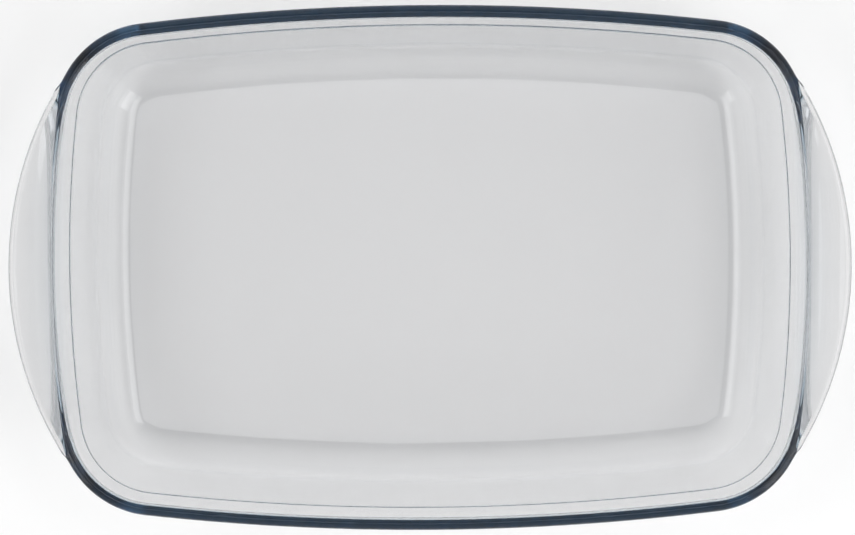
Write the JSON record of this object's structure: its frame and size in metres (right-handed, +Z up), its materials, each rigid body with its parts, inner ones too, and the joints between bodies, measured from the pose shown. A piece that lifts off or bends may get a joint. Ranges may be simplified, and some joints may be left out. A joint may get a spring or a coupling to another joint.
{
  "type": "roasting dish",
  "caption": "Bowed rectangular roasting dish in clear pressed glass, with sloping walls, a rounded rim and a lens-shaped handle at each end; holds food in an oven.",
  "frame": {"origin": "centre of the flat base, on the surface that the dish stands on", "axes": "+X along the dish towards its right-hand handle, +Y across it towards the back, +Z up"},
  "size_m": [0.35, 0.2184, 0.062],
  "materials": {
    "glass": "clear pressed glass, fire-polished, with a faint blue-grey tint in the thick edges"
  },
  "bodies": {
    "root": {"floor": "glass", "front_wall": "glass", "back_wall": "glass", "left_wall": "glass", "right_wall": "glass", "front_left_corner": "glass", "front_right_corner": "glass", "back_left_corner": "glass", "back_right_corner": "glass", "left_handle": "glass", "right_handle": "glass"}
  },
  "joints": []
}
